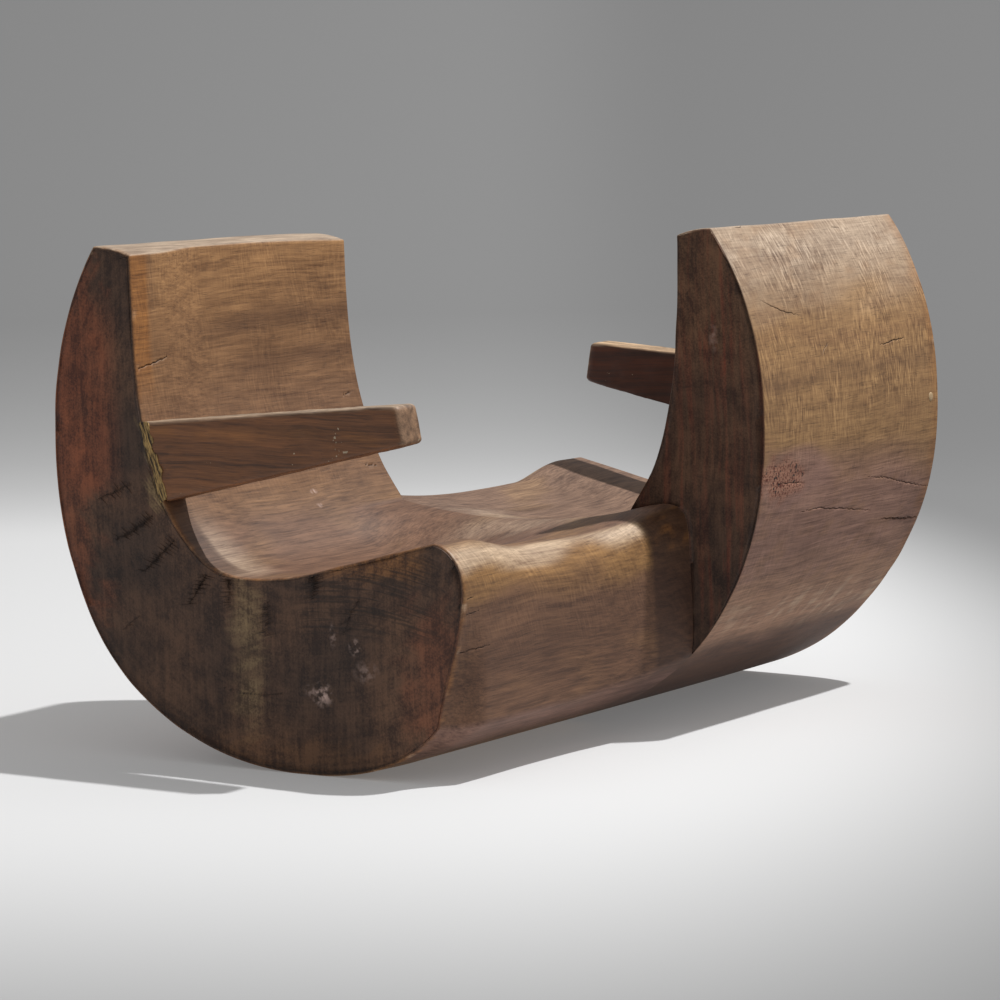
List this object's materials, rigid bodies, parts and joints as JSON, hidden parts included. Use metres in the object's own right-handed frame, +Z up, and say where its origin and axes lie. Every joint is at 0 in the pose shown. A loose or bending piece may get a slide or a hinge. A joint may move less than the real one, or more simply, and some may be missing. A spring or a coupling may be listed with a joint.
{
  "type": "tete-a-tete rocking chair",
  "caption": "Rocking tete-a-tete seat carved from a log lying on its side: side-by-side seats facing opposite ways, each with a high back and one pegged arm",
  "frame": {"origin": "on the floor, at the middle of the worn flat that the rocker rests on, under the middle of the chair", "axes": "+Z up; +Y along the log's grain from the near seat to the far seat; +X the way a sitter on the near seat faces"},
  "size_m": [1.02, 1.296, 0.8701],
  "materials": {
    "log": "hand-carved, oiled, weathered and checked",
    "arm": "dark, worn smooth by hands",
    "peg": "pale end grain, matt",
    "putty": "old wood putty, matt"
  },
  "bodies": {
    "root": {"log_body": "log", "near_arm": "arm", "near_arm_peg": "peg", "near_arm_putty": "putty", "far_arm": "arm", "far_arm_peg": "peg"}
  },
  "joints": []
}
